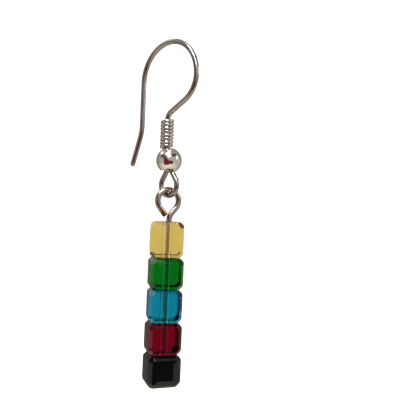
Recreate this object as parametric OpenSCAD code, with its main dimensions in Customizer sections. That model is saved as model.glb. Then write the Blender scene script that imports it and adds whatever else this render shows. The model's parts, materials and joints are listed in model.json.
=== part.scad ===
// Bead drop earring, shown as it hangs from the ear.
// A bent ear wire with a coil and a ball carries a head pin strung with five faceted glass cubes.
// Origin: on the wire's centre line in the top arc, plumb above the drop. +Z is up.
// The hook lies in the YZ plane: its front faces -Y and its long leg hangs at +Y.

/* [Ear wire] */
// Diameter of the ear wire
wire_d = 0.65; // [0.6:0.01:0.7]
// Radius of the top arc, to the wire's centre line
arc_r = 4.5; // [4.2:0.05:5]
// Radius of the front curve below the top arc
front_r = 3.4; // [3:0.05:3.6]
// Angle that the front curve turns through before it runs back to the coil
front_turn = 60; // [55:1:65]
// Distance from the shank to the foremost point of the wire
front_reach = 4.45; // [4.2:0.05:4.7]
// Radius of the bend just above the coil
bend_r = 1.1; // [0.9:0.05:1.3]
// Straight length of the back leg below the top arc
leg_run = 5.5; // [4:0.5:7]
// Radius of the bend that flares the leg's end outwards
flare_r = 5; // [4:0.5:7]
// Angle of that flare
flare_turn = 20; // [10:1:25]
// Straight free end of the leg
tail_run = 3.5; // [3:0.5:5]

/* [Ear loop] */
// Radius of the loop that carries the drop, to the wire's centre line
loop_r = 1.3; // [1.25:0.01:1.33]
// Slope of the loop's two arms, from the vertical
loop_slope = 40; // [38:1:42]
// Distance of the shank behind the ball's middle
shank_offset = 0.54; // [0.5:0.01:0.55]
// Radius of the bend between the shank and the loop
loop_neck_r = 0.6; // [0.4:0.05:0.7]

/* [Ball and coil] */
// Diameter of the ball
ball_d = 3.15; // [3:0.05:3.25]
// Distance of the ball's middle behind the loop's middle
ball_offset = 0.15; // [0:0.01:0.2]
// Diameter of the hole through the ball
ball_bore_d = 1.8; // [1.78:0.01:1.86]
// Height of the ball's centre above the loop's lowest bar
ball_level = 4.3; // [4.25:0.05:4.4]
// Diameter of the wire that the coil is wound from
coil_wire_d = 0.41; // [0.36:0.01:0.41]
// Inner diameter of the coil
coil_bore_d = 0.86; // [0.8:0.01:0.9]
// Rise of the coil in one turn
coil_pitch = 0.43; // [0.43:0.005:0.45]
// Number of turns
coil_turns = 7.9; // [6:0.1:8]

/* [Head pin] */
// Diameter of the head pin's wire
pin_d = 0.7; // [0.6:0.01:0.72]
// Radius of the pin's eye, to the wire's centre line
eye_r = 1.35; // [1.3:0.01:1.4]
// Slope of the eye's two arms, from the vertical
eye_slope = 39; // [37:1:41]
// Turn of the eye about the plumb line
eye_turn = -25; // [-30:1:0]
// Radius of the bend between the eye and the stem
eye_neck_r = 0.5; // [0.4:0.05:0.6]
// Distance of the stem beside the eye's middle
stem_offset = 0.2; // [0.1:0.01:0.2]
// Length of stem between the eye and the top bead
stem_show = 0.47; // [0.2:0.01:0.8]
// Diameter of the head under the lowest bead
head_d = 1.8; // [1.6:0.1:2.2]
// Thickness of the head
head_t = 0.45; // [0.35:0.05:0.6]

/* [Glass beads] */
// Width of each cube, face to face
bead_w = 4.1; // [3.8:0.05:4.2]
// Diameter of the hole drilled for the pin
bead_bore_d = 1.15; // [1.15:0.05:1.3]
// Width cut from each face by the bevel along an edge
bead_bevel = 0.45; // [0.35:0.05:0.55]
// Extra depth cut off each corner, past the point where three bevels meet the faces
bead_corner = 0.15; // [0.05:0.05:0.3]
// Width of the flat table in the middle of each face
bead_table = 1.9; // [1.6:0.1:2.2]
// Slope of the shallow facets round each table
bead_slope = 4; // [3:0.5:5]
// Gap between one bead and the next
bead_gap = 0.03; // [0.02:0.01:0.05]

/* [Hidden] */
$fn = 96;

// One row for each bead, from the top: its height and its turn about the pin
HEIGHT = 0;
TURN = 1;
beads = [
    [4.35, -44],
    [3.80, -41],
    [4.00, -41],
    [3.85, -36],
    [3.85, -33]
];

steel = [0.72, 0.70, 0.68];
amber = [0.80, 0.66, 0.28];
green = [0.00, 0.42, 0.08];
teal = [0.00, 0.52, 0.62];
red = [0.45, 0.00, 0.07];
black = [0.05, 0.05, 0.05];

// Straight wire laps into a bend by the first length, and is slimmer than it by the second
bend_lap = 0.05;
bend_step = 0.01;
// Clearance where the two links hang in each other, and where a piece sits on the next
link_gap = 0.04;
seat_gap = 0.03;
// Length by which the wire starts to bend inside the coil, and is tucked into the ball
tuck = 0.1;
// Radius of the head's dome, as a share of the head's diameter
dome_share = 0.75;

// Heights in this block are measured up from the loop's lowest bar, where the drop hangs
ball_pole = sqrt(pow(ball_d / 2, 2) - pow(ball_bore_d / 2, 2));
coil_start = ball_level + ball_pole + seat_gap;
coil_height = coil_turns * coil_pitch + coil_wire_d;
coil_mean_r = (coil_bore_d + coil_wire_d) / 2;
bend_start = coil_start + coil_height - tuck;

// The hook's path as [y, z] points of the centre line
shank_y = ball_offset + shank_offset;
front_y = shank_y - front_reach;
sweep_start = [shank_y, bend_start] + bend_r * [cos(front_turn) - 1, sin(front_turn)];
sweep_end_y = front_y + front_r * (1 - cos(front_turn));
sweep_run = (sweep_start[0] - sweep_end_y) / sin(front_turn);
sweep_end = sweep_start + sweep_run * [-sin(front_turn), cos(front_turn)];
arc_level = sweep_end[1] + front_r * sin(front_turn);
arc_middle = [front_y + arc_r, arc_level];
leg_y = front_y + 2 * arc_r;
flare_start = [leg_y, arc_level - leg_run];
tail_start = flare_start + flare_r * [1 - cos(flare_turn), -sin(flare_turn)];
tail_end = tail_start + tail_run * [sin(flare_turn), -cos(flare_turn)];

// Drop of the bar below the origin, which lies on the top arc at y = 0
hang = arc_level + sqrt(pow(arc_r, 2) - pow(arc_middle[0], 2));

// The ear loop: a round bottom and two arms that close into the ball
loop_middle = [0, loop_r];
loop_back = loop_middle + loop_r * [cos(loop_slope), sin(loop_slope)];
loop_front = loop_middle + loop_r * [-cos(loop_slope), sin(loop_slope)];
loop_corner_z = loop_back[1] + (loop_back[0] - shank_y) / tan(loop_slope);
shank_start = loop_corner_z + loop_neck_r * tan(loop_slope / 2);
shank_bend = [shank_y + loop_neck_r, shank_start];
loop_end_z = ball_level - ball_pole + tuck;
loop_end = loop_front + (loop_end_z - loop_front[1]) * [tan(loop_slope), 1];

// The pin's eye as [u, z] points, where u runs across the eye
eye_middle = [0, (wire_d + pin_d) / 2 + link_gap - eye_r];
eye_right = eye_middle + eye_r * [cos(eye_slope), -sin(eye_slope)];
eye_left = eye_middle + eye_r * [-cos(eye_slope), -sin(eye_slope)];
eye_corner_z = eye_right[1] - (eye_right[0] - stem_offset) / tan(eye_slope);
stem_top = eye_corner_z - eye_neck_r * tan(eye_slope / 2);
eye_end_u = stem_offset - pin_d / 2 - link_gap - pin_d / 2 * cos(eye_slope);
eye_end = eye_left + (eye_end_u - eye_left[0]) * [1, -1 / tan(eye_slope)];

// The beads hang below the eye, one under the other
beads_top = stem_top - stem_show;
function stack_drop(i) = i == 0 ? 0 : stack_drop(i - 1) + beads[i - 1][HEIGHT] + bead_gap;
function bead_middle(i) = beads_top - stack_drop(i) - beads[i][HEIGHT] / 2;
head_top = beads_top - stack_drop(len(beads) - 1) - beads[len(beads) - 1][HEIGHT] - bead_gap;

// Straight stretch of wire between two points of a flat drawing.
// It is a hair slimmer than the bends, and laps into them so that the wire is one solid.
module rod(start, end, d) {
    run = end - start;
    translate([start[0], start[1], 0])
        rotate([0, 0, atan2(run[1], run[0])])
            rotate([0, 90, 0])
                translate([0, 0, -bend_lap])
                    cylinder(h = norm(run) + 2 * bend_lap, d = d - bend_step);
}

// Round bend of wire in a flat drawing, counter-clockwise from one angle to the other
module bend(middle, r, from, to, d) {
    translate([middle[0], middle[1], 0])
        rotate([0, 0, from])
            rotate_extrude(angle = to - from)
                translate([r, 0])
                    circle(d = d);
}

// Stands a flat drawing up, so that its y runs along z, and turns it about the plumb line
module upright(turn) {
    translate([0, 0, -hang])
        rotate([0, 0, turn])
            rotate([90, 0, 0])
                children();
}

module ear_hook() {
    color(steel)
        upright(90)
            union() {
                hook_top();
                hook_leg();
                hook_loop();
            }
}

// The shank, the front sweep and the top arc
module hook_top() {
    rod([shank_y, shank_start], [shank_y, bend_start], wire_d);
    bend([shank_y - bend_r, bend_start], bend_r, 0, front_turn, wire_d);
    rod(sweep_start, sweep_end, wire_d);
    bend([front_y + front_r, arc_level], front_r, 180, 180 + front_turn, wire_d);
    bend(arc_middle, arc_r, 0, 180, wire_d);
}

// The long leg behind the ear, with a flared and rounded end
module hook_leg() {
    rod([leg_y, arc_level], flare_start, wire_d);
    bend(flare_start + [flare_r, 0], flare_r, 180, 180 + flare_turn, wire_d);
    rod(tail_start, tail_end, wire_d);
    translate([tail_end[0], tail_end[1], 0])
        sphere(d = wire_d - 3 * bend_step);
}

// The loop under the ball, whose free end is tucked up into the ball's hole
module hook_loop() {
    bend(shank_bend, loop_neck_r, 180, 180 + loop_slope, wire_d);
    rod(shank_bend - loop_neck_r * [cos(loop_slope), sin(loop_slope)], loop_back, wire_d);
    bend(loop_middle, loop_r, 180 - loop_slope, 360 + loop_slope, wire_d);
    rod(loop_front, loop_end, wire_d);
}

// A round wire carried along a helix, as one closed skin of rings with two flat ends
module hook_coil() {
    sides = 10;
    steps_per_turn = 24;
    steps = round(coil_turns * steps_per_turn);
    climb = atan(coil_pitch / (2 * PI * coil_mean_r));
    ring = [
        for (s = [0:steps], k = [0:sides - 1])
            let (turn = 360 * s / steps_per_turn)
            let (around = 360 * k / sides)
            let (out = coil_mean_r + coil_wire_d / 2 * cos(around))
            let (rise = coil_wire_d / 2 * sin(around))
            [
                out * cos(turn) + rise * sin(climb) * sin(turn),
                out * sin(turn) - rise * sin(climb) * cos(turn),
                coil_pitch * s / steps_per_turn + rise * cos(climb)
            ]
    ];
    skin = [
        for (s = [0:steps - 1], k = [0:sides - 1])
            let (next = (k + 1) % sides)
            [s * sides + k, (s + 1) * sides + k, (s + 1) * sides + next, s * sides + next]
    ];
    first = [for (k = [0:sides - 1]) k];
    last = [for (k = [0:sides - 1]) steps * sides + sides - 1 - k];
    color(steel)
        translate([0, shank_y, coil_start + coil_wire_d / 2 - hang])
            polyhedron(points = ring, faces = concat([first], skin, [last]));
}

module hook_ball() {
    color(steel)
        translate([0, ball_offset, ball_level - hang])
            difference() {
                sphere(d = ball_d);
                cylinder(h = 2 * ball_d, d = ball_bore_d, center = true);
            }
}

// The eye, the stem through the beads and the domed head under the last one
module head_pin() {
    color(steel)
        upright(eye_turn)
            union() {
                pin_eye();
                rod([stem_offset, head_top], [stem_offset, stem_top], pin_d);
                pin_head();
            }
}

module pin_eye() {
    neck = [stem_offset + eye_neck_r, stem_top];
    bend(neck, eye_neck_r, 180 - eye_slope, 180, pin_d);
    rod(neck + eye_neck_r * [-cos(eye_slope), sin(eye_slope)], eye_right, pin_d);
    bend(eye_middle, eye_r, -eye_slope, 180 + eye_slope, pin_d);
    rod(eye_left, eye_end, pin_d);
}

module pin_head() {
    dome_r = head_d * dome_share;
    translate([stem_offset, head_top, 0])
        rotate([90, 0, 0])
            intersection() {
                cylinder(h = head_t, d = head_d);
                translate([0, 0, head_t - dome_r])
                    sphere(r = dome_r);
            }
}

// A cube with a table on each face, shallow facets round the tables, bevelled edges and cut corners.
// Each intersected box gives the pairs of parallel facets that share its tilt.
module cut_cube(w, h) {
    side = w * cos(bead_slope) + bead_table * sin(bead_slope);
    cap = h * cos(bead_slope) + bead_table * sin(bead_slope);
    edge_side = (w - bead_bevel) * sqrt(2);
    edge_cap = ((w + h) / 2 - bead_bevel) * sqrt(2);
    corner = (w + h / 2 - 2 * bead_bevel - bead_corner) * 2 / sqrt(3);
    corner_tilt = atan(1 / sqrt(2));
    reach = 3 * w;
    intersection() {
        cube([w, w, h], center = true);
        intersection_for (s = [-1, 1])
            rotate([0, 0, s * bead_slope])
                cube([side, side, reach], center = true);
        intersection_for (s = [-1, 1], q = [0, 90])
            rotate([0, s * bead_slope, q])
                cube([side, reach, cap], center = true);
        rotate([0, 0, 45])
            cube([edge_side, edge_side, reach], center = true);
        intersection_for (q = [0, 90])
            rotate([0, 45, q])
                cube([edge_cap, reach, edge_cap], center = true);
        intersection_for (s = [-1, 1], q = [45, 135])
            rotate([0, s * corner_tilt, q])
                cube([corner, reach, reach], center = true);
    }
}

module bead(i) {
    translate([0, 0, bead_middle(i) - hang])
        rotate([0, 0, beads[i][TURN]])
            difference() {
                cut_cube(bead_w, beads[i][HEIGHT]);
                cylinder(h = 2 * bead_w, d = bead_bore_d, center = true);
            }
}

module bead_amber() {
    color(amber)
        bead(0);
}

module bead_green() {
    color(green)
        bead(1);
}

module bead_teal() {
    color(teal)
        bead(2);
}

module bead_red() {
    color(red)
        bead(3);
}

module bead_black() {
    color(black)
        bead(4);
}

ear_hook();
hook_coil();
hook_ball();
head_pin();
bead_amber();
bead_green();
bead_teal();
bead_red();
bead_black();
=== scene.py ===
import json
import math

import bpy
import numpy as np
from mathutils import Matrix, Vector


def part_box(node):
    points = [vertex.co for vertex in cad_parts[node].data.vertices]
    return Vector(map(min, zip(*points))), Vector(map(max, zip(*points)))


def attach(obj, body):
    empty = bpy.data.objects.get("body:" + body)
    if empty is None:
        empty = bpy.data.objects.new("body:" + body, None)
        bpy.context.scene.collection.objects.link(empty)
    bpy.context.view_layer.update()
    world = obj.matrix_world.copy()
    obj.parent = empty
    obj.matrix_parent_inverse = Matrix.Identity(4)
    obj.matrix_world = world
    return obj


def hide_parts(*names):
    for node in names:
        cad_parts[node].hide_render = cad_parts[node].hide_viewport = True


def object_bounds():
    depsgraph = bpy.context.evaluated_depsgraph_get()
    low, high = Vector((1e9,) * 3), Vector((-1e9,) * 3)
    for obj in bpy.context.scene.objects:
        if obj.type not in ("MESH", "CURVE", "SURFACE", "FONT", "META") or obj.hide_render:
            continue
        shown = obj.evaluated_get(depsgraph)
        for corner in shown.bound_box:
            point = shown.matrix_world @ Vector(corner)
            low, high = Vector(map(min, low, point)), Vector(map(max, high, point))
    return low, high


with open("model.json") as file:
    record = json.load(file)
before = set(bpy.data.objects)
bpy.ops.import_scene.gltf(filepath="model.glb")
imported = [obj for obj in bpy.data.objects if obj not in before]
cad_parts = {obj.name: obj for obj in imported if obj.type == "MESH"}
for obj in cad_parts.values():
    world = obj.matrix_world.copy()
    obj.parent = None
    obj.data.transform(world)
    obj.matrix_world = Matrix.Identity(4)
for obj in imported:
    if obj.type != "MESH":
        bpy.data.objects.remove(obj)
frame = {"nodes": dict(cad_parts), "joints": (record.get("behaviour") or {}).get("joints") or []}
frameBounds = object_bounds()
mm = 0.001
joints = {joint["name"]: joint for joint in frame["joints"]}
hang = -joints["drop_swing"]["pos_m"][2] / mm  # drop of the loop's bar below the origin
print("frame loaded:", len(frame["nodes"]), "nodes; the drop hangs", round(hang, 3), "mm down")


# Shared mesh work

# Quads of a grid of rows and columns: each joins two next rows and two next columns,
# and a closed way runs on from its last line to its first.
def gridQuads(rows, columns, closeRows=False, closeColumns=True):
    row = np.arange(rows if closeRows else rows - 1)
    column = np.arange(columns if closeColumns else columns - 1)
    row, column = np.meshgrid(row, column, indexing="ij")
    nextRow, nextColumn = (row + 1) % rows, (column + 1) % columns
    corners = [row * columns + column, row * columns + nextColumn,
               nextRow * columns + nextColumn, nextRow * columns + column]
    return np.stack(corners, axis=-1).reshape(-1, 4)


# Triangles from one ring of a grid to a single point, which closes the surface there.
def poleFan(ringStart, columns, pole):
    column = np.arange(columns)
    return np.stack([ringStart + column, ringStart + (column + 1) % columns,
                     np.full(columns, pole)], axis=-1)


# Triangles that close both ends of a tube of rings, whose two poles come after its points.
def endFans(rows, columns):
    return np.concatenate([poleFan(0, columns, rows * columns)[:, ::-1],
                           poleFan((rows - 1) * columns, columns, rows * columns + 1)])


# Six times the volume inside the faces: the sum of each triangle's corner . (corner x corner).
def signedVolume(points, triangles):
    a, b, c = (points[triangles[:, k]] for k in range(3))
    return np.einsum("ij,ij->i", a, np.cross(b, c)).sum()


# Puts points in mm and faces into a mesh object at the origin, turned so that faces look outwards.
def meshPiece(name, points, quads, fans=None, smooth=True):
    fans = np.empty((0, 3), int) if fans is None else fans
    halves = np.concatenate([quads[:, [0, 1, 2]], quads[:, [0, 2, 3]], fans])
    if signedVolume(points, halves) < 0:
        quads, fans = quads[:, [0, 3, 2, 1]], fans[:, ::-1]
    mesh = bpy.data.meshes.new(name)
    corners = np.concatenate([quads.ravel(), fans.ravel()]).astype(np.int32)
    starts = np.concatenate([np.arange(len(quads)) * 4, len(quads) * 4 + np.arange(len(fans)) * 3])
    mesh.vertices.add(len(points))
    mesh.vertices.foreach_set("co", (points * mm).astype(np.float32).ravel())
    mesh.loops.add(len(corners))
    mesh.loops.foreach_set("vertex_index", corners)
    mesh.polygons.add(len(starts))
    mesh.polygons.foreach_set("loop_start", starts.astype(np.int32))
    mesh.polygons.foreach_set("use_smooth", np.full(len(starts), smooth))
    mesh.update(calc_edges=True)
    piece = bpy.data.objects.new(name, mesh)
    bpy.context.scene.collection.objects.link(piece)
    return piece


# A number for each point, which a material reads by its name.
def pointValue(piece, name, values):
    attribute = piece.data.attributes.new(name, "FLOAT", "POINT")
    attribute.data.foreach_set("value", values.astype(np.float32).ravel())


# Hands a finished piece to the frame: what moves it, what it stands for and its finish.
def place(piece, body, node, material):
    piece.data.materials.append(material)
    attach(piece, body)
    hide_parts(node)
    return piece


# Flat paths of bent wire

# A straight stretch: points evenly between its ends, with one direction.
def straight(start, end, count=2):
    start, end = np.array(start, float), np.array(end, float)
    share = np.linspace(0, 1, count)[:, None]
    along = (end - start) / np.linalg.norm(end - start)
    return start + (end - start) * share, np.repeat(along[None], count, axis=0)


# A round bend: middle + radius * (cos, sin) of an angle that runs evenly from first to last.
def roundBend(middle, radius, first, last, step=4.0):
    count = int(abs(last - first) / step) + 2
    angle = np.radians(np.linspace(first, last, count))
    outward = np.stack([np.cos(angle), np.sin(angle)], axis=-1)
    along = np.stack([-outward[:, 1], outward[:, 0]], axis=-1) * np.sign(last - first)
    return np.array(middle, float) + radius * outward, along


# Stretches joined end to end, each without the point that it shares with the one before.
def joined(*stretches):
    points = [stretches[0][0]] + [stretch[0][1:] for stretch in stretches[1:]]
    along = [stretches[0][1]] + [stretch[1][1:] for stretch in stretches[1:]]
    return np.concatenate(points), np.concatenate(along)


# The rings that end a wire: from edge short of its end, the centre moves on by edge * sin and the
# radius shrinks by edge * (1 - cos) over a quarter turn. A small edge makes a cut end.
def wireEnd(centre, along, radius, edge, steps=5):
    turn = np.linspace(0, math.pi / 2, steps + 1)[1:]
    centres = centre + along * (edge * np.sin(turn) - edge)[:, None]
    return centres, np.repeat(along[None], steps, axis=0), radius - edge * (1 - np.cos(turn))


# What the plating reads at each point of a wire: how far along it and at which angle round it.
def wireValues(piece, travel, angle):
    around = np.tile(angle, len(travel))
    pointValue(piece, "travel", np.append(np.repeat(travel, len(angle)), travel[[0, -1]]))
    pointValue(piece, "aroundSin", np.append(np.sin(around), [0, 0]))
    pointValue(piece, "aroundCos", np.append(np.cos(around), [0, 0]))


# A circle carried along a flat path: centre + radius * (cos a * side + sin a * across), where
# side is the path's own normal in its plane and across is the plane's normal.
def wirePiece(name, centres, along, radii, toWorld, sides):
    rows = len(centres)
    angle = np.linspace(0, 2 * math.pi, sides, endpoint=False)
    side = np.stack([-along[:, 1], along[:, 0]], axis=-1)
    flat = centres[:, None] + radii[:, None, None] * np.cos(angle)[None, :, None] * side[:, None]
    across = radii[:, None] * np.sin(angle)[None]
    ring = toWorld(flat[..., 0], across, flat[..., 1]).reshape(-1, 3)
    poles = toWorld(centres[[0, -1], 0], np.zeros(2), centres[[0, -1], 1])
    piece = meshPiece(name, np.concatenate([ring, poles]), gridQuads(rows, sides), endFans(rows, sides))
    steps = np.linalg.norm(np.diff(centres, axis=0), axis=1)
    wireValues(piece, np.append(0, np.cumsum(steps)), angle)
    return piece


# Finishes

# A new material with its node tree, its Principled shader and a short way to add nodes.
def newMaterial(name):
    material = bpy.data.materials.new(name)
    material.use_nodes = True
    tree = material.node_tree
    shader = tree.nodes["Principled BSDF"]

    def add(kind, **settings):
        node = tree.nodes.new(kind)
        for key, value in settings.items():
            setattr(node, key, value)
        return node

    return material, tree, shader, add


# A colour ramp through stops of a position and a shade, which is grey or a colour.
def ramp(add, stops):
    stops = list(stops)
    node = add("ShaderNodeValToRGB")
    elements = node.color_ramp.elements
    while len(elements) < len(stops):
        elements.new(0.5)
    for element, (position, shade) in zip(elements, stops):
        element.position = position
        element.color = (shade, shade, shade, 1) if np.isscalar(shade) else (*shade, 1)
    return node


platings = {
    "earWire": {"tint": (0.44, 0.395, 0.36), "dull": (0.36, 0.32, 0.285), "rough": (0.2, 0.24)},
    "coil": {"tint": (0.60, 0.56, 0.52), "dull": (0.52, 0.48, 0.44), "rough": (0.17, 0.2)},
    "ball": {"tint": (0.86, 0.825, 0.77), "dull": (0.76, 0.72, 0.66), "rough": (0.06, 0.12)},
    "pin": {"tint": (0.49, 0.415, 0.38), "dull": (0.41, 0.34, 0.305), "rough": (0.2, 0.24)},
    "brass": (0.34, 0.21, 0.07),  # the core that shows at a cut end
    "strung": (0.34, 0.26, 0.19),  # painted shade: the colour that the pin is darkened to inside the glass
    "dullSize": 900.0,  # patches per metre
    "drawLines": 9.0,  # fine lines round the wire, left by the drawing die
    "lineRun": 0.35,  # how fast those lines change along it
    "grain": 4.0,  # on plating that isn't wire, how much finer than the patches
    "bumpStrength": 0.015,
    "bumpDepth": 0.00001,
}


# Plated wire: a dulled shade in soft patches and fine lines along the wire. With brassEnd, a brass
# core shows where cutEnd says that the plating is cut through, and painted shade darkens it in the glass.
def platedMetal(name, plating, wire=True, brassEnd=False):
    material, tree, shader, add = newMaterial(name)
    link = tree.links.new
    where = add("ShaderNodeTexCoord")
    patches = add("ShaderNodeTexNoise")
    patches.inputs["Scale"].default_value = platings["dullSize"]
    patches.inputs["Detail"].default_value = 4
    link(where.outputs["Object"], patches.inputs["Vector"])
    shade = ramp(add, [(0.35, platings[plating]["tint"]), (0.75, platings[plating]["dull"])])
    link(patches.outputs["Fac"], shade.inputs["Fac"])
    colour = shade.outputs["Color"]

    lines = add("ShaderNodeTexNoise")
    lines.inputs["Detail"].default_value = 3
    if wire:
        parts = [add("ShaderNodeAttribute", attribute_name=key)
                 for key in ("aroundCos", "aroundSin", "travel")]
        spread = add("ShaderNodeCombineXYZ")
        for part, socket in zip(parts, spread.inputs):
            link(part.outputs["Fac"], socket)
        squeeze = add("ShaderNodeMapping")
        around, along = platings["drawLines"], platings["lineRun"]
        squeeze.inputs["Scale"].default_value = (around, around, along)
        link(spread.outputs["Vector"], squeeze.inputs["Vector"])
        link(squeeze.outputs["Vector"], lines.inputs["Vector"])
        lines.inputs["Scale"].default_value = 1.0
    else:
        lines.inputs["Scale"].default_value = platings["dullSize"] * platings["grain"]
        link(where.outputs["Object"], lines.inputs["Vector"])
    rough = add("ShaderNodeMapRange")
    rough.inputs["From Min"].default_value = 0.3
    rough.inputs["From Max"].default_value = 0.8
    for key, value in zip(("To Min", "To Max"), platings[plating]["rough"]):
        rough.inputs[key].default_value = value
    link(lines.outputs["Fac"], rough.inputs["Value"])
    bump = add("ShaderNodeBump")
    bump.inputs["Strength"].default_value = platings["bumpStrength"]
    bump.inputs["Distance"].default_value = platings["bumpDepth"]
    link(lines.outputs["Fac"], bump.inputs["Height"])

    if brassEnd:
        cut = add("ShaderNodeAttribute", attribute_name="cutEnd")
        mix = add("ShaderNodeMix", data_type="RGBA")
        mix.inputs["B"].default_value = (*platings["brass"], 1)
        link(cut.outputs["Fac"], mix.inputs["Factor"])
        link(colour, mix.inputs["A"])
        # painted shade: the pin is darkened where it runs inside the glass beads
        strung = add("ShaderNodeAttribute", attribute_name="strung")
        dark = add("ShaderNodeMix", data_type="RGBA")
        dark.inputs["B"].default_value = (*platings["strung"], 1)
        link(strung.outputs["Fac"], dark.inputs["Factor"])
        link(mix.outputs["Result"], dark.inputs["A"])
        colour = dark.outputs["Result"]
    shader.inputs["Metallic"].default_value = 1.0
    link(colour, shader.inputs["Base Color"])
    link(rough.outputs["Result"], shader.inputs["Roughness"])
    link(bump.outputs["Normal"], shader.inputs["Normal"])
    return material


# Ear wire

earWire = {
    "wire": 0.64,
    "arcRadius": 4.5,  # top arc
    "frontRadius": 3.4,  # front curve below it
    "frontTurn": 60,
    "frontReach": 4.45,  # shank to foremost point
    "bendRadius": 1.1,  # bend above the coil
    "bendHeight": 9.3295,  # where that bend starts, above the loop's bar
    "legRun": 5.5,
    "flareRadius": 5.0,
    "flareTurn": 20,
    "tailRun": 3.8,
    "loopRadius": 1.3,
    "backSlope": 33,  # of the loop's arms, from upright
    "frontSlope": 37,
    "shankPlace": 0.69,  # shank behind the loop's middle
    "neckRadius": 0.5,  # bends hidden in the ball
    "neckHeight": 3.1,
    "jogSlope": 14,
    "jogRadius": 0.8,
    "loopEndHeight": 3.02,  # where the loop's free end stops inside the ball
    "cutEdge": 0.05,
    "tailRound": 0.98,  # share of the wire's radius that rounds its other end
    "sides": 28,
}


# The hook's plane is the frame's YZ plane, with heights counted from the loop's bar.
def hookWorld(u, across, z):
    return np.stack([across, u, z - hang], axis=-1)


# The wire's centre line from its free end over the ear, down through coil and ball, round the loop.
def hookPath(d):
    turn, flare, back, ahead, jog = (math.radians(d[key]) for key in (
        "frontTurn", "flareTurn", "backSlope", "frontSlope", "jogSlope"))
    shank, front = d["shankPlace"], d["shankPlace"] - d["frontReach"]
    bendMiddle = np.array([shank - d["bendRadius"], d["bendHeight"]])
    sweepStart = bendMiddle + d["bendRadius"] * np.array([math.cos(turn), math.sin(turn)])
    frontEnd = front + d["frontRadius"] * (1 - math.cos(turn))
    run = (sweepStart[0] - frontEnd) / math.sin(turn)
    sweepEnd = sweepStart + run * np.array([-math.sin(turn), math.cos(turn)])
    level = sweepEnd[1] + d["frontRadius"] * math.sin(turn)
    leg = front + 2 * d["arcRadius"]
    flareStart = np.array([leg, level - d["legRun"]])
    tailStart = flareStart + d["flareRadius"] * np.array([1 - math.cos(flare), -math.sin(flare)])
    tailEnd = tailStart + d["tailRun"] * np.array([math.sin(flare), -math.cos(flare)])
    loopMiddle = np.array([0, d["loopRadius"]])
    lean = np.array([math.cos(back), math.sin(back)])
    loopBack = loopMiddle + d["loopRadius"] * lean
    loopFront = loopMiddle + d["loopRadius"] * np.array([-math.cos(ahead), math.sin(ahead)])
    neckEnd = loopBack + (d["neckHeight"] - loopBack[1]) * np.array([-math.tan(back), 1])
    neckMiddle = neckEnd + d["neckRadius"] * lean
    neckStart = neckMiddle + d["neckRadius"] * np.array([-math.cos(jog), math.sin(jog)])
    jogHeight = neckStart[1] + (shank - neckStart[0]) / math.tan(jog) + d["jogRadius"] * math.tan(jog / 2)
    jogMiddle = np.array([shank - d["jogRadius"], jogHeight])
    jogEnd = jogMiddle + d["jogRadius"] * np.array([math.cos(jog), -math.sin(jog)])
    loopEnd = loopFront + (d["loopEndHeight"] - loopFront[1]) * np.array([math.tan(ahead), 1])
    return joined(
        straight(tailEnd, tailStart, 8),
        roundBend(flareStart + [d["flareRadius"], 0], d["flareRadius"], 180 + d["flareTurn"], 180),
        straight(flareStart, (leg, level), 10),
        roundBend((front + d["arcRadius"], level), d["arcRadius"], 0, 180, 2.5),
        roundBend((front + d["frontRadius"], level), d["frontRadius"], 180, 180 + d["frontTurn"], 2.5),
        straight(sweepEnd, sweepStart, 6),
        roundBend(bendMiddle, d["bendRadius"], d["frontTurn"], 0, 5),
        straight((shank, d["bendHeight"]), (shank, jogHeight), 12),
        roundBend(jogMiddle, d["jogRadius"], 0, -d["jogSlope"], 5),
        straight(jogEnd, neckStart, 3),
        roundBend(neckMiddle, d["neckRadius"], 180 - d["jogSlope"], 180 + d["backSlope"], 5),
        straight(neckEnd, loopBack, 4),
        roundBend(loopMiddle, d["loopRadius"], d["backSlope"], -180 - d["frontSlope"], 4),
        straight(loopFront, loopEnd, 6),
    )


# A circle of the wire's radius carried along the hook's path, between a round end and a cut end.
def buildEarWire(d):
    centres, along = hookPath(d)
    radius = d["wire"] / 2
    tail = wireEnd(centres[0], -along[0], radius, radius * d["tailRound"])
    tip = wireEnd(centres[-1], along[-1], radius, d["cutEdge"])
    radii = np.concatenate([tail[2][::-1], np.full(len(centres) - 2, radius), tip[2]])
    centres = np.concatenate([tail[0][::-1], centres[1:-1], tip[0]])
    along = np.concatenate([-tail[1], along[1:-1], tip[1]])
    return wirePiece("earHook", centres, along, radii, hookWorld, d["sides"])


place(buildEarWire(earWire), "hook", "ear_hook", platedMetal("platedWire", "earWire"))
print("ear wire made")


# Coil

coil = {
    "wire": 0.41,
    "bore": 0.86,
    "pitch": 0.43,
    "turns": 7.9,
    "place": 0.69,  # behind the loop's middle, like the shank
    "stepsPerTurn": 48,
    "sides": 14,
    "cutEdge": 0.04,
}


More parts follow.
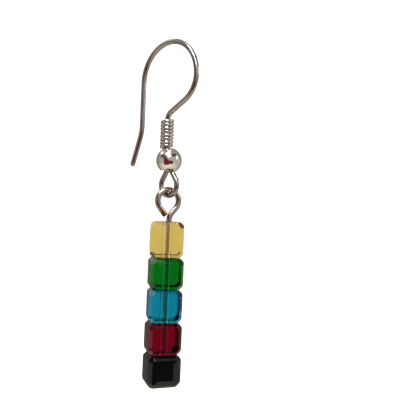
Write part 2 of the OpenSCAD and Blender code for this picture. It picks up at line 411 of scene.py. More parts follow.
# A circle carried up a helix: middle + radius * (cos t, sin t) and a steady climb; each ring
# stands square to the helix, along its outward and its climbing direction.
def buildCoil(d):
    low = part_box("hook_coil")[0][2] / mm + d["wire"] / 2
    mean, radius = (d["bore"] + d["wire"]) / 2, d["wire"] / 2
    climb = d["pitch"] / (2 * math.pi)
    length = math.hypot(mean, climb)  # of wire in one radian of turn
    turn = np.linspace(0, 2 * math.pi * d["turns"], int(d["turns"] * d["stepsPerTurn"]) + 1)
    ends = np.linspace(0, math.pi / 2, 5)[1:]
    slip = d["cutEdge"] * (1 - np.sin(ends)) / length
    shrink = radius - d["cutEdge"] * (1 - np.cos(ends))
    radii = np.concatenate([shrink[::-1], np.full(len(turn) - 2, radius), shrink])
    turn = np.concatenate([slip[::-1], turn[1:-1], turn[-1] - slip])
    outward = np.stack([np.cos(turn), np.sin(turn), np.zeros_like(turn)], axis=-1)
    along = np.stack([-mean * np.sin(turn), mean * np.cos(turn), np.full_like(turn, climb)], axis=-1)
    along = along / length
    upward = np.cross(outward, along)
    centres = mean * outward + [0, d["place"], 0]
    centres[:, 2] = low + climb * turn
    angle = np.linspace(0, 2 * math.pi, d["sides"], endpoint=False)
    spoke = (np.cos(angle)[None, :, None] * outward[:, None]
             + np.sin(angle)[None, :, None] * upward[:, None])
    ring = centres[:, None] + radii[:, None, None] * spoke
    points = np.concatenate([ring.reshape(-1, 3), centres[[0, -1]]])
    rows, sides = len(turn), d["sides"]
    piece = meshPiece("hookCoil", points, gridQuads(rows, sides), endFans(rows, sides))
    wireValues(piece, turn * length, angle)
    return piece


place(buildCoil(coil), "hook", "hook_coil", platedMetal("platedCoilWire", "coil"))
print("coil made")


# Ball

ball = {
    "diameter": 3.15,
    "hole": 1.66,  # lower mouth, for both arms of the loop
    "lowTilt": -4,  # leans towards the loop's middle
    "topHole": 1.26,  # upper mouth, for the shank alone
    "topTilt": 9.2,  # leans towards the shank
    "wall": 0.14,  # the ball is a thin pressed shell
    "place": 0.15,  # behind the loop's middle
    "sides": 72,
    "rows": 64,
    "innerRows": 40,
}


# The shell's wall is a profile of radius r over an angle t from the upper mouth to the lower one
# and back, with half-round lips. It is turned about an axis that leans less on the way down:
# point = r * (sin t cos a, sin t sin a, cos t), leant over by an even blend of topTilt and lowTilt.
def buildBall(d):
    middle = (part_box("hook_ball")[0][2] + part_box("hook_ball")[1][2]) / 2 / mm
    outer, lip = d["diameter"] / 2, d["wall"] / 2
    mean = outer - lip
    first, last = (math.asin((hole / 2 + lip) / mean) for hole in (d["topHole"], d["hole"]))
    last = math.pi - last
    down, back = np.linspace(first, last, d["rows"]), np.linspace(last, first, d["innerRows"])
    half = np.linspace(0, math.pi, 11)[1:-1]

    # radius and angle of the half circle that closes the wall at one mouth
    def lipRound(at, way):
        x = mean * math.sin(at) + lip * (np.cos(half) * math.sin(at) + way * np.sin(half) * math.cos(at))
        y = mean * math.cos(at) + lip * (np.cos(half) * math.cos(at) - way * np.sin(half) * math.sin(at))
        return np.hypot(x, y), np.arctan2(x, y)

    lowLip, topLip = lipRound(last, 1), lipRound(first, -1)
    radius = np.concatenate([np.full(len(down), outer), lowLip[0],
                             np.full(len(back), outer - d["wall"]), topLip[0][::-1]])
    sweep = np.concatenate([down, lowLip[1], back, topLip[1][::-1]])
    lean = np.radians(np.interp(sweep, [first, last], [d["topTilt"], d["lowTilt"]]))
    angle = np.linspace(0, 2 * math.pi, d["sides"], endpoint=False)
    x = (radius * np.sin(sweep))[:, None] * np.cos(angle)
    y = (radius * np.sin(sweep))[:, None] * np.sin(angle)
    z = np.repeat((radius * np.cos(sweep))[:, None], d["sides"], axis=1)
    cos, sin = np.cos(lean)[:, None], np.sin(lean)[:, None]
    points = np.stack([x, y * cos + z * sin + d["place"], z * cos - y * sin + middle], axis=-1)
    return meshPiece("hookBall", points.reshape(-1, 3), gridQuads(len(sweep), d["sides"], closeRows=True))


place(buildBall(ball), "hook", "hook_ball",
      platedMetal("platedBall", "ball", wire=False))
print("ball made")


# Head pin

headPin = {
    "wire": 0.7,
    "earWire": 0.65,  # the solid ear wire, whose loop carries the eye
    "linkGap": 0.04,  # between the eye and the loop's bar, and beside the neck
    "eyeRadius": 1.35,
    "eyeSlope": 39,  # of the eye's arms, from upright
    "eyeTurn": -25,  # of the eye's plane, about the plumb line
    "neckRadius": 1.5,
    "stemPlace": 0.2,  # stem beside the eye's middle
    "endRun": 0.29,  # how far the cut end reaches down beside the neck
    "headWidth": 1.8,
    "headThick": 0.45,
    "headDome": 1.35,  # radius of the dome
    "headRim": 0.06,
    "headSeat": 0.04,  # the flat under the bead starts this far out from the wire
    "domeEdge": 0.02,  # the dome starts this far inside the rim, and its last ring is this wide
    "cutEdge": 0.05,
    "brassRun": 1.3,  # how far the brass shows from the cut end
    "brassFull": 1.4,  # above 1 the end itself is all brass
    "strungFade": 0.3,  # over this length the painted shade on the wire fades in inside the first bead
    "sides": 28,
}


# The pin's plane stands upright and is turned about the plumb line.
def pinWorld(u, across, z):
    turn = math.radians(headPin["eyeTurn"])
    return np.stack([u * math.cos(turn) + across * math.sin(turn),
                     u * math.sin(turn) - across * math.cos(turn), z - hang], axis=-1)


# The pin's centre line from its cut end round the eye and down the stem to the head.
def pinPath(d, headTop):
    slope = math.radians(d["eyeSlope"])
    middle = np.array([0, (d["earWire"] + d["wire"]) / 2 + d["linkGap"] - d["eyeRadius"]])
    right = middle + d["eyeRadius"] * np.array([math.cos(slope), -math.sin(slope)])
    left = middle + d["eyeRadius"] * np.array([-math.cos(slope), -math.sin(slope)])
    cornerHeight = right[1] - (right[0] - d["stemPlace"]) / math.tan(slope)
    stemTop = cornerHeight - d["neckRadius"] * math.tan(slope / 2)
    endPlace = d["stemPlace"] - d["wire"] / 2 - d["linkGap"] - d["wire"] / 2 * math.cos(slope)
    end = left + (endPlace - left[0]) * np.array([1, -1 / math.tan(slope)])
    end = end + d["endRun"] * np.array([math.sin(slope), -math.cos(slope)])
    neckMiddle = np.array([d["stemPlace"] + d["neckRadius"], stemTop])
    neckTop = neckMiddle + d["neckRadius"] * np.array([-math.cos(slope), math.sin(slope)])
    return joined(
        straight(end, left, 6),
        roundBend(middle, d["eyeRadius"], 180 + d["eyeSlope"], -d["eyeSlope"], 4),
        straight(right, neckTop, 4),
        roundBend(neckMiddle, d["neckRadius"], 180 - d["eyeSlope"], 180, 5),
        straight((d["stemPlace"], stemTop), (d["stemPlace"], headTop), 40),
    )


# The wire sweep ends in a turned profile: out under the last bead, round the rim, over the dome.
def buildHeadPin(d):
    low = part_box("head_pin")[0][2] / mm + hang
    half, dome, rim, radius = d["headWidth"] / 2, d["headDome"], d["headRim"], d["wire"] / 2
    headTop = low + d["headThick"]
    centres, along = pinPath(d, headTop)
    cut = wireEnd(centres[0], -along[0], radius, d["cutEdge"])
    rimTurn = np.linspace(90, -40, 8)
    rimOut = half - rim + rim * np.cos(np.radians(rimTurn))
    rimUp = headTop - rim + rim * np.sin(np.radians(rimTurn))
    domeTurn = np.linspace(math.asin((half - d["domeEdge"]) / dome), 0, 10)[:-1]
    domeOut, domeUp = dome * np.sin(domeTurn), low + dome - dome * np.cos(domeTurn)
    headOut = np.concatenate([[radius + d["headSeat"]], rimOut, domeOut, [d["domeEdge"]]])
    headUp = np.concatenate([[headTop], rimUp, domeUp, [low]])
    headCentres = np.stack([np.full(len(headUp), d["stemPlace"]), headUp], axis=-1)
    radii = np.concatenate([cut[2][::-1], np.full(len(centres) - 2, radius), headOut])
    centres = np.concatenate([cut[0][::-1], centres[1:-1], headCentres])
    along = np.concatenate([-cut[1], along[1:-1], np.repeat([[0.0, -1.0]], len(headUp), axis=0)])
    piece = wirePiece("headPin", centres, along, radii, pinWorld, d["sides"])
    travel = np.empty(len(piece.data.vertices), np.float32)
    piece.data.attributes["travel"].data.foreach_get("value", travel)
    pointValue(piece, "cutEnd", np.clip(d["brassFull"] * (1 - travel / d["brassRun"]), 0, 1))
    spots = np.empty(3 * len(travel), np.float32)
    piece.data.vertices.foreach_get("co", spots)
    below = (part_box("bead_amber")[1][2] - spots[2::3]) / mm
    # painted shade: 1 where the wire runs inside the beads, fading in at the top of the first bead
    pointValue(piece, "strung", np.clip(below / d["strungFade"], 0, 1))
    return piece


place(buildHeadPin(headPin), "drop", "head_pin",
      platedMetal("platedPin", "pin", brassEnd=True))
print("head pin made")


# Glass cubes

glassBeads = {
    "width": 4.1,
    "bore": 1.15,
    "bevel": 0.45,  # cut from each face along an edge
    "corner": 0.26,  # extra depth of the facet across each corner
    "table": 1.9,  # flat middle of each face
    "slope": 4,  # of the shallow facets round the table
    "boreEdge": 0.05,
    "crispness": 400.0,  # higher gives sharper facet edges
    "wearDepth": 0.0045,  # an edge rounded by this much looks worn
    "ior": 1.53,
    # name: turn about the pin, and the shares of red, green and blue that come through passDepth
    # of the glass; glass that lets nothing through is made opaque
    "amber": {"turn": -44, "passes": (0.60, 0.44, 0.11)},
    "green": {"turn": -38, "passes": (0.0005, 0.135, 0.007)},
    "teal": {"turn": -38, "passes": (0.002, 0.20, 0.29)},
    "red": {"turn": -33, "passes": (0.14, 0.0008, 0.010)},
    "black": {"turn": -30.5, "passes": (0.0, 0.0, 0.0)},
}


# How far past the cut cube each point reaches: the greatest share over its facet planes, with the
# faces, bevels and corners blended by a sum of high powers so that the edges are softly rounded.
def cutCubeShare(x, y, z, width, height, d):
    x, y, z = np.abs(x), np.abs(y), np.abs(z)
    slope = math.radians(d["slope"])
    cos, sin = math.cos(slope), math.sin(slope)
    sideLimit = (width * cos + d["table"] * sin) / 2
    capLimit = (height * cos + d["table"] * sin) / 2

    # a face's flat table and the four shallow facets round it
    def face(a, b, c, half, limit):
        return np.maximum(a / half, (a * cos + np.maximum(b, c) * sin) / limit)

    shares = np.stack([
        face(x, y, z, width / 2, sideLimit),
        face(y, x, z, width / 2, sideLimit),
        face(z, x, y, height / 2, capLimit),
        (x + y) / (width - d["bevel"]),
        (x + z) / ((width + height) / 2 - d["bevel"]),
        (y + z) / ((width + height) / 2 - d["bevel"]),
        (x + y + z) / (width + height / 2 - 2 * d["bevel"] - d["corner"]),
    ])
    top = shares.max(axis=0)
    return top * ((shares / top) ** d["crispness"]).sum(axis=0) ** (1 / d["crispness"])


# Where the planes of the cut cube cross. Up a side and along it, with x as 1: the bevels start at
# y = level and z = rise, and the corner facet reaches to y = levelCorner and z = riseCorner.
# Across the cap, with half the width as 1: the bevel starts at x = cap.
def facetLines(height, d):
    slope, q = math.radians(d["slope"]), height / d["width"]
    cos, sin = math.cos(slope), math.sin(slope)
    side, top = ((size * cos + d["table"] * sin) / 2 for size in (d["width"], height))
    upright, flat = (size - d["bevel"] for size in (d["width"], (d["width"] + height) / 2))
    corner = d["width"] + height / 2 - 2 * d["bevel"] - d["corner"]

    # the place across a face where its shallow facet meets the bevel
    def meeting(face, other):
        return (cos / face - 1 / other) / (1 / other - sin / face)

    level, rise, cap = meeting(side, upright), meeting(side, flat), q * meeting(top, flat)
    return {
        "level": level, "rise": rise, "cap": cap, "table": d["table"] / d["width"],
        "perHeight": corner / flat - 1,  # corner facet and top bevel meet at y = perHeight * (x + z)
        "levelCorner": (1 + rise) * (corner / flat - 1),
        "riseCorner": (1 + level) * (corner / upright - 1),
        # corner facet and cap meet at x = capCorner / ((1 + y / x) / corner - capSlope)
        "capCorner": q * (cos / top - 1 / corner), "capSlope": sin / top, "corner": corner,
    }


# Lines between stops, so many steps for each stretch: start + (end - start) * share. A close line
# goes on each side of every stop, and a stretch between two equal stops is left out.
def gridLines(stops, counts, close=0.01):
    runs = []
    for start, end, count in zip(stops, stops[1:], counts):
        if end > start:
            share = np.linspace(0, 1, count + 1)
            near = min(close / (end - start), 0.4 / count)
            runs.append(start + (end - start) * np.sort(np.append(share[:-1], [near, 1 - near])))
    return np.append(np.concatenate(runs), stops[-1])


# Columns run round the bead and rows run from the bore's top mouth over the outside to its bottom
# mouth and back up the bore. Outside, each direction is divided by its share of the cut cube;
# near the mouths the square outline turns smoothly into the bore's circle. Rows and columns bend
# so that every facet's edge lies along them, or along the split of the quads.
def buildCube(name, node, turnDegrees, d):
    low, high = (corner[2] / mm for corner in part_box(node))
    height, width, radius = high - low, d["width"], d["bore"] / 2
    q, at = height / width, facetLines(height, d)
    shared = min(at["levelCorner"], at["riseCorner"])

    # across: share y / x of the nominal column; up: share z / x of the nominal row
    lines = gridLines([0, at["table"], shared, at["levelCorner"], at["level"], 1], [2, 4, 2, 8, 4])
    across = np.concatenate([-lines[:0:-1], lines[:-1]])
    quarter = np.repeat(np.arange(4) * math.pi / 2, len(across))
    across = np.tile(across, 4)[None]
    upper = gridLines([at["table"], shared, at["riseCorner"], at["rise"], q], [4, 2, 8, 4])
    middle = np.linspace(-at["table"], at["table"], 6)[1:-1]
    up = np.concatenate([upper[-2::-1], middle[::-1], -upper[:-1]])[:, None]
    capRows = gridLines([at["table"], at["cap"], 1], [5, 4])[1:, None]
    mouth = (radius + d["boreEdge"]) / (width / 2)
    blend = np.linspace(0, 1, 6)[:, None]

    # the corner facet's line leaves the column levelCorner where the top bevel starts
    def bentAcross(rise):
        size, start, furthest = np.abs(across), at["levelCorner"], (1 + q / at["cap"]) * at["perHeight"]
        line = np.clip((1 + rise) * at["perHeight"], start, furthest)
        outer = line + (size - start) * (1 - line) / (1 - start)
        return np.sign(across) * np.where(size <= start, size * line / start, outer)

    capAcross = bentAcross(q / capRows)
    steep = (1 + np.abs(capAcross)) / at["corner"] - at["capSlope"]
    pulled = np.minimum(at["capCorner"] / steep / at["cap"], 1)
    fade = np.interp(capRows, [at["table"], at["cap"], 1], [0, 1, 0])
    capOut = capRows * (1 + (pulled - 1) * fade)
    mouthAcross = np.repeat(bentAcross(np.full((1, 1), q / at["table"])), len(blend), axis=0)
    circle = 1 / np.sqrt(1 + mouthAcross ** 2)
    mouthOut = (1 - blend) * mouth * circle + blend * at["table"]
    sideAcross = bentAcross(np.abs(up))
    lifted = np.maximum((1 + np.abs(sideAcross)) / (1 + at["level"]), 1)
    fade = np.interp(np.abs(up), [at["table"], at["riseCorner"], q], [0, 1, 0])
    sideUp = up * (1 + (lifted - 1) * fade)

    lean = np.concatenate([mouthAcross, capAcross, sideAcross, capAcross[::-1], mouthAcross[::-1]])
    out = np.concatenate([mouthOut, capOut, np.ones_like(sideAcross), capOut[::-1], mouthOut[::-1]])
    out = out * width / 2
    capZ = np.full((len(blend) + len(capRows), across.shape[1]), height / 2)
    z = np.concatenate([capZ, sideUp * width / 2, -capZ])
    x = out * (np.cos(quarter) - lean * np.sin(quarter))
    y = out * (np.sin(quarter) + lean * np.cos(quarter))
    nominal = np.stack([x, y, z], axis=-1)
    outside = nominal / cutCubeShare(x, y, z, width, height, d)[..., None]
    turned = quarter + np.arctan(mouthAcross[0])
    cosA, sinA = np.cos(turned), np.sin(turned)

    edge = d["boreEdge"]
    quarterTurn = np.radians(np.linspace(90, 0, 5))[1:]
    mouthEdge = radius + edge - edge * np.cos(quarterTurn)
    mouthUp = -height / 2 + edge - edge * np.sin(quarterTurn)
    boreZ = np.concatenate([mouthUp, np.linspace(-1, 1, 7)[1:-1] * (height / 2 - edge), -mouthUp[::-1]])
    boreR = np.concatenate([mouthEdge, np.full(5, radius), mouthEdge[::-1]])
    inside = np.stack([boreR[:, None] * cosA, boreR[:, None] * sinA,
                       np.repeat(boreZ[:, None], len(turned), axis=1)], axis=-1)
    points = np.concatenate([outside, inside])
    rows, columns = points.shape[:2]

    # how far the rounding took an edge in, against the same cube with edges ten times as crisp
    crisp = cutCubeShare(x, y, z, width, height, {**d, "crispness": 10 * d["crispness"]})
    rounding = np.linalg.norm(nominal, axis=-1) / crisp - np.linalg.norm(outside, axis=-1)
    wear = np.concatenate([np.clip(rounding / d["wearDepth"], 0, 1), np.zeros(inside.shape[:2])])
    bore = np.concatenate([np.zeros(outside.shape[:2]), np.ones(inside.shape[:2])])

    angle = math.radians(turnDegrees)
    cos, sin = math.cos(angle), math.sin(angle)
    spin = np.array([[cos, -sin, 0], [sin, cos, 0], [0, 0, 1]])
    points = points.reshape(-1, 3) @ spin.T + [0, 0, (low + high) / 2]

    # a quad is turned where the facet line through it runs the other way than its split
    quads = gridQuads(rows, columns, closeRows=True)
    rowMiddle, heights = np.zeros(rows), z[:, 0]
    rowMiddle[:len(z) - 1] = (np.abs(heights[1:]) + np.abs(heights[:-1])) / width
    rowMiddle[:len(z) - 1] *= np.sign(heights[1:] + heights[:-1])
    columnMiddle = (across[0] + np.append(across[0, 1:], across[0, 0])) / 2
    columnMiddle[np.abs(across[0]) == 1] = (1 + lines[-2]) / -2
    size, reach = np.abs(columnMiddle)[None], np.abs(rowMiddle)[:, None]
    cell = ((size > at["levelCorner"]) & (size < at["level"])
            & (reach > at["riseCorner"]) & (reach < at["rise"]))
    swap = (rowMiddle[:, None] * columnMiddle[None] > 0) ^ cell
    quads = np.where(swap.ravel()[:, None], np.roll(quads, 1, axis=1), quads)
    piece = meshPiece(name, points, quads, smooth=False)
    pointValue(piece, "edgeWear", wear)
    pointValue(piece, "boreWall", bore)
    return piece


glassFinish = {
    "streaks": 700.0,  # faint streaks, per metre
    "streakShade": (0.96, 1.0),
    "edgeRough": 0.06,
    "boreRough": 0.22,
    "waves": 280.0,  # slight waves of the polished faces, per metre
    "waveStrength": 0.2,
    "waveDepth": 0.0002,
    "passDepth": 4.0,  # of glass, in mm, for the shares in glassBeads
    "jetStreaks": 500.0,
    "jetShade": ((0.0004, 0.0008, 0.001), (0.001, 0.0015, 0.0018)),
    "jetEdge": (0.012, 0.012, 0.012),
    "jetRough": 0.02,
    "jetBoreRough": 0.4,
}


# Clear coloured glass: the colour comes from the depth of glass that light crosses, edges are a
# little worn and the drilled bore is frosted.
def clearGlass(name, passes, ior):
    material, tree, shader, add = newMaterial(name)
    link = tree.links.new
    where = add("ShaderNodeTexCoord")
    streaks = add("ShaderNodeTexNoise")
    streaks.inputs["Scale"].default_value = glassFinish["streaks"]
    streaks.inputs["Detail"].default_value = 2
    link(where.outputs["Object"], streaks.inputs["Vector"])
    shade = ramp(add, zip((0.3, 0.7), glassFinish["streakShade"]))
    link(streaks.outputs["Fac"], shade.inputs["Fac"])
    link(shade.outputs["Color"], shader.inputs["Base Color"])
    wear = add("ShaderNodeAttribute", attribute_name="edgeWear")
    bore = add("ShaderNodeAttribute", attribute_name="boreWall")
    edges = add("ShaderNodeMath", operation="MULTIPLY")
    edges.inputs[1].default_value = glassFinish["edgeRough"]
    link(wear.outputs["Fac"], edges.inputs[0])
    rough = add("ShaderNodeMath", operation="MULTIPLY_ADD")
    rough.inputs[1].default_value = glassFinish["boreRough"]
    link(bore.outputs["Fac"], rough.inputs[0])
    link(edges.outputs["Value"], rough.inputs[2])
    link(rough.outputs["Value"], shader.inputs["Roughness"])
    waves = add("ShaderNodeTexNoise")
    waves.inputs["Scale"].default_value = glassFinish["waves"]
    waves.inputs["Detail"].default_value = 1
    link(where.outputs["Object"], waves.inputs["Vector"])
    wavy = add("ShaderNodeBump")
    wavy.inputs["Strength"].default_value = glassFinish["waveStrength"]
    wavy.inputs["Distance"].default_value = glassFinish["waveDepth"]
    link(waves.outputs["Fac"], wavy.inputs["Height"])
    link(wavy.outputs["Normal"], shader.inputs["Normal"])
    shader.inputs["Transmission Weight"].default_value = 1.0
    shader.inputs["IOR"].default_value = ior

    # absorption per metre is -log(share that passes) / depth; density is the largest of the three
    absorbs = [-math.log(share) / (glassFinish["passDepth"] * mm) for share in passes]
    density = max(absorbs)
    inside = add("ShaderNodeVolumeAbsorption")
    inside.inputs["Color"].default_value = (*[1 - a / density for a in absorbs], 1)
    inside.inputs["Density"].default_value = density
    link(inside.outputs["Volume"], tree.nodes["Material Output"].inputs["Volume"])
    return material


# Opaque black glass: a polished skin over black, browner in soft streaks, worn along the edges.
def jetGlass(name, ior):
    material, tree, shader, add = newMaterial(name)
    link = tree.links.new
    where = add("ShaderNodeTexCoord")
    streaks = add("ShaderNodeTexNoise")
    streaks.inputs["Scale"].default_value = glassFinish["jetStreaks"]
    link(where.outputs["Object"], streaks.inputs["Vector"])
    shade = ramp(add, zip((0.35, 0.7), glassFinish["jetShade"]))
    link(streaks.outputs["Fac"], shade.inputs["Fac"])
    wear = add("ShaderNodeAttribute", attribute_name="edgeWear")
    bore = add("ShaderNodeAttribute", attribute_name="boreWall")
    pale = add("ShaderNodeMix", data_type="RGBA")
    pale.inputs["B"].default_value = (*glassFinish["jetEdge"], 1)
    link(wear.outputs["Fac"], pale.inputs["Factor"])
    link(shade.outputs["Color"], pale.inputs["A"])
    link(pale.outputs["Result"], shader.inputs["Base Color"])
    rough = add("ShaderNodeMath", operation="MULTIPLY_ADD")
    rough.inputs[1].default_value = glassFinish["jetBoreRough"]
    rough.inputs[2].default_value = glassFinish["jetRough"]
    link(bore.outputs["Fac"], rough.inputs[0])
    link(rough.outputs["Value"], shader.inputs["Roughness"])
    shader.inputs["IOR"].default_value = ior
    return material


for key in ("amber", "green", "teal", "red", "black"):
    row = glassBeads[key]
    if any(row["passes"]):
        glass = clearGlass(key + "Glass", row["passes"], glassBeads["ior"])
    else:
        glass = jetGlass(key + "Glass", glassBeads["ior"])
    cube = buildCube(key + "Cube", "bead_" + key, row["turn"], glassBeads)
    place(cube, key, "bead_" + key, glass)
    print(key, "cube made:", len(cube.data.polygons), "faces")


# Studio

studio = {
    "viewTurn": -50,  # where the camera stands, about the plumb line
    "roll": 2.4,
    "distance": 65.0,  # from the drop's plumb line
    "focal": 529.75,  # in pixels of the 416 pixel picture
    "picture": 416,
    "sensor": 36,
    "knownPoint": (0, 0, -16.166),  # this point of the drop
    "knownPixel": (169.4, 173.0),  # shows at this pixel
    "aim": (0, 0, -14.6),  # about the ball's middle, which cards and lamps face
    "floorBelow": 50.0,
    "floorRadius": 2500.0,
}


# Unit vectors of the picture: to its right, up, and out towards the camera.
def pictureAxes():
    turn = math.radians(studio["viewTurn"])
    right = Vector((math.cos(turn), math.sin(turn), 0))
    return right, Vector((0, 0, 1)), Vector((math.sin(turn), -math.cos(turn), 0))


# Unit vector from the ball towards a place to the picture's right and up, in degrees.
def towardsPlace(at):
    right, up, out = pictureAxes()
    turn, rise = (math.radians(angle) for angle in at)
    return (out * math.cos(turn) + right * math.sin(turn)) * math.cos(rise) + up * math.sin(rise)


# The camera stands so that the known point shows at the known pixel.
def buildCamera(d):
    right, up, out = pictureAxes()
    roll = math.radians(d["roll"])
    across = right * math.cos(roll) + up * math.sin(roll)
    upward = up * math.cos(roll) - right * math.sin(roll)
    shift = [pixel - d["picture"] / 2 for pixel in d["knownPixel"]]
    spot = Vector(d["knownPoint"]) + out * d["distance"]
    spot -= (across * shift[0] - upward * shift[1]) * d["distance"] / d["focal"]
    data = bpy.data.cameras.new("camera")
    data.sensor_width = d["sensor"]
    data.lens = d["focal"] * d["sensor"] / d["picture"]
    data.clip_start, data.clip_end = 0.005, 20
    camera = bpy.data.objects.new("camera", data)
    turned = Matrix((across, upward, out)).transposed().to_4x4()
    camera.matrix_world = Matrix.Translation(spot * mm) @ turned
    bpy.context.scene.collection.objects.link(camera)
    bpy.context.scene.camera = camera


# A flat disc of rings and columns round a middle point.
def buildFloor(d):
    level = frameBounds[0][2] / mm - d["floorBelow"]
    rings = np.array([10, 60, 200, 600, 1500, d["floorRadius"]])
    angle = np.linspace(0, 2 * math.pi, 64, endpoint=False)
    points = np.stack([rings[:, None] * np.cos(angle), rings[:, None] * np.sin(angle),
                       np.full((len(rings), len(angle)), level)], axis=-1).reshape(-1, 3)
    points = np.concatenate([points, [[0, 0, level]]])
    quads = gridQuads(len(rings), len(angle))
    floor = meshPiece("floor", points, quads, poleFan(0, len(angle), len(points) - 1)[:, ::-1])
    material, tree, shader, add = newMaterial("paleFloor")
    where = add("ShaderNodeTexCoord")
    grain = add("ShaderNodeTexNoise")
    grain.inputs["Scale"].default_value = 12
    tree.links.new(where.outputs["Object"], grain.inputs["Vector"])
    shade = ramp(add, [(0.3, 0.9), (0.7, 0.92)])
    tree.links.new(grain.outputs["Fac"], shade.inputs["Fac"])
    tree.links.new(shade.outputs["Color"], shader.inputs["Base Color"])
    shader.inputs["Roughness"].default_value = 0.9
    shader.inputs["Specular IOR Level"].default_value = 0.0
    floor.data.materials.append(material)
    floor.visible_glossy = floor.visible_transmission = False


# One row for each card: where it stands as seen from the ball, to the picture's right and up, its
# width and height, all in degrees, how far away it is, and the colour that it shows in the metal.
cards = {
    "maroonCard": {"at": (-21, -18), "size": (46, 52), "distance": 130, "colour": (0.17, 0.016, 0.042)},
    "darkBody": {"at": (-32, 16), "size": (40, 20), "distance": 150, "colour": (0.09, 0.08, 0.065)},
    "darkLeft": {"at": (-60, 31), "size": (44, 27), "distance": 330, "colour": (0.11, 0.105, 0.09)},
    "darkRight": {"at": (58, 45), "size": (44, 26), "distance": 330, "colour": (0.08, 0.08, 0.06)},
    "brownGap": {"at": (10, -19), "size": (16, 30), "distance": 100, "colour": (0.07, 0.055, 0.045)},
    "darkLow": {"at": (29, -20), "size": (22, 31), "distance": 100, "colour": (0.05, 0.042, 0.036)},
    "softBox": {"at": (-3, 66), "size": (20, 96), "distance": 360, "colour": (1.4, 1.38, 1.32)},
    "whiteLeft": {"at": (-104, 45), "size": (27, 17), "distance": 330, "colour": (1.7, 1.65, 1.5)},
    "paleRight": {"at": (96, -6), "size": (64, 34), "distance": 340, "colour": (0.52, 0.5, 0.46)},
    "dimBehind": {"at": (-152, -16), "size": (36, 34), "distance": 330, "colour": (0.17, 0.15, 0.14)},
}


# The same for what shows only through the glass.
glassCards = {
    "darkBelowLeft": {"at": (-152, -25), "size": (30, 26), "distance": 400, "colour": (0.2, 0.13, 0.1)},
    "darkAboveRight": {"at": (152, 26), "size": (30, 26), "distance": 400, "colour": (0.2, 0.13, 0.1)},
}


# A square card that faces the ball and shows only in reflections, or only through glass.
def buildCard(name, d, mirrored):
    toCard, up = towardsPlace(d["at"]), Vector((0, 0, 1))
    halfWide, halfTall = (d["distance"] * math.tan(math.radians(size / 2)) for size in d["size"])
    wide = up.cross(toCard).normalized()
    tall = toCard.cross(wide) * halfTall
    wide = wide * halfWide
    middle = Vector(studio["aim"]) + toCard * d["distance"]
    corners = np.array([middle + wide * i + tall * j for j in (-1, 1) for i in (-1, 1)])
    card = meshPiece(name, corners, gridQuads(2, 2, closeColumns=False))
    material = bpy.data.materials.new(name)
    material.use_nodes = True
    tree = material.node_tree
    tree.nodes.clear()
    glow = tree.nodes.new("ShaderNodeEmission")
    glow.inputs["Color"].default_value = (*d["colour"], 1)
    result = tree.nodes.new("ShaderNodeOutputMaterial")
    tree.links.new(glow.outputs["Emission"], result.inputs["Surface"])
    material.cycles.emission_sampling = "NONE"
    card.data.materials.append(material)
    card.visible_camera = card.visible_diffuse = False
    card.visible_glossy, card.visible_transmission = mirrored, not mirrored
    card.visible_shadow = card.visible_volume_scatter = False


# Soft lamps, placed as the cards are but with their sides in mm; glow is the brightness that the
# metal shows, unless mirrored is False, and glints says that the glass shows the lamp too.
lamps = {
    "overhead": {"at": (-50, 76), "distance": 350, "size": (150, 150), "glow": 8.0, "mirrored": False},
    "upperSpot": {"at": (-26, 59), "distance": 350, "size": (120, 120), "glow": 24.0},
    "frontSpot": {"at": (12, 43), "distance": 350, "size": (90, 90), "glow": 12.0},
    "sideLamp": {"at": (84, 22), "distance": 350, "size": (110, 110), "glow": 4.5, "glints": True},
}


# An area lamp that faces the ball; its power is glow * pi * area.
def buildLamp(name, d):
    toLamp = towardsPlace(d["at"])
    data = bpy.data.lights.new(name, "AREA")
    data.shape = "RECTANGLE"
    data.size, data.size_y = (size * mm for size in d["size"])
    data.energy = d["glow"] * math.pi * data.size * data.size_y
    lamp = bpy.data.objects.new(name, data)
    spot = (Vector(studio["aim"]) + toLamp * d["distance"]) * mm
    lamp.matrix_world = Matrix.Translation(spot) @ toLamp.to_track_quat("Z", "Y").to_matrix().to_4x4()
    lamp.visible_camera = False
    lamp.visible_glossy = d.get("mirrored", True)
    lamp.visible_transmission = d.get("glints", False)
    bpy.context.scene.collection.objects.link(lamp)


room = {
    "backdrop": 1.25,  # what shows behind the earring, and lights it
    # what polished metal mirrors: the share by side, and the colour by height
    "behindToFront": [(0.0, 1.0), (0.03, 0.85), (0.08, 0.48), (0.45, 0.75), (0.8, 1.0)],
    "belowToAbove": [(0.0, (0.95, 0.84, 0.69)), (0.2, (0.9, 0.8, 0.68)), (0.36, (0.5, 0.475, 0.44)),
                     (0.8, (0.46, 0.445, 0.42))],
    "throughGlass": [(0.1, 0.2), (0.3, 1.12), (0.66, 1.12), (0.8, 0.3)],  # by height
}


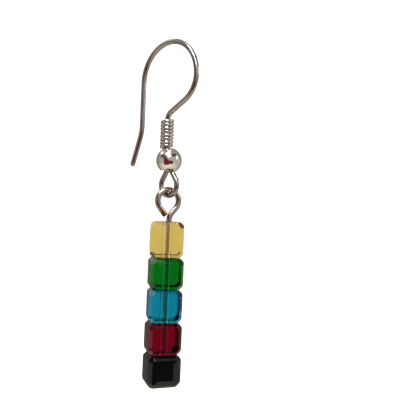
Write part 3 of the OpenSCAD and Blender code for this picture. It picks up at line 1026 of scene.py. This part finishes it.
# An even white room. Polished faces mirror its walls darker, by how far they lie towards the
# camera's side, and glass shows a bright band all round with a darker ceiling and floor.
def buildWorld(d):
    world = bpy.data.worlds.new("whiteRoom")
    world.use_nodes = True
    tree = world.node_tree
    tree.nodes.clear()
    link, add = tree.links.new, tree.nodes.new
    where = add("ShaderNodeTexCoord")

    # a ramp over (direction . axis + 1) / 2
    def towards(axis, stops):
        facing = add("ShaderNodeVectorMath")
        facing.operation = "DOT_PRODUCT"
        facing.inputs[1].default_value = axis
        link(where.outputs["Generated"], facing.inputs[0])
        share = add("ShaderNodeMath")
        share.operation = "MULTIPLY_ADD"
        share.inputs[1].default_value = share.inputs[2].default_value = 0.5
        link(facing.outputs["Value"], share.inputs[0])
        shade = ramp(add, stops)
        link(share.outputs["Value"], shade.inputs["Fac"])
        return shade.outputs["Color"]

    def choose(switch, otherwise, picked):
        mix = add("ShaderNodeMix")
        mix.data_type = "RGBA"
        link(switch, mix.inputs["Factor"])
        link(otherwise, mix.inputs["A"])
        link(picked, mix.inputs["B"])
        return mix.outputs["Result"]

    right, up, out = pictureAxes()
    ray = add("ShaderNodeLightPath")
    plain = add("ShaderNodeMath")
    plain.operation = "MAXIMUM"
    link(ray.outputs["Is Camera Ray"], plain.inputs[0])
    link(ray.outputs["Is Diffuse Ray"], plain.inputs[1])
    white = add("ShaderNodeValue")
    white.outputs["Value"].default_value = d["backdrop"]
    walls = add("ShaderNodeMix")
    walls.data_type = "RGBA"
    walls.blend_type = "MULTIPLY"
    walls.inputs["Factor"].default_value = 1.0
    link(towards(out, d["behindToFront"]), walls.inputs["A"])
    link(towards(up, d["belowToAbove"]), walls.inputs["B"])
    inGlass = towards(up, d["throughGlass"])
    colour = choose(ray.outputs["Is Transmission Ray"], walls.outputs["Result"], inGlass)
    background = add("ShaderNodeBackground")
    link(choose(plain.outputs["Value"], colour, white.outputs["Value"]), background.inputs["Color"])
    result = add("ShaderNodeOutputWorld")
    link(background.outputs["Background"], result.inputs["Surface"])
    bpy.context.scene.world = world


buildCamera(studio)
buildFloor(studio)
for name, row in cards.items():
    buildCard(name, row, mirrored=True)
for name, row in glassCards.items():
    buildCard(name, row, mirrored=False)
for name, row in lamps.items():
    buildLamp(name, row)
buildWorld(room)
bpy.context.scene.view_settings.view_transform = "Standard"
print("studio made:", len(cards) + len(glassCards), "cards,", len(lamps), "lamps")
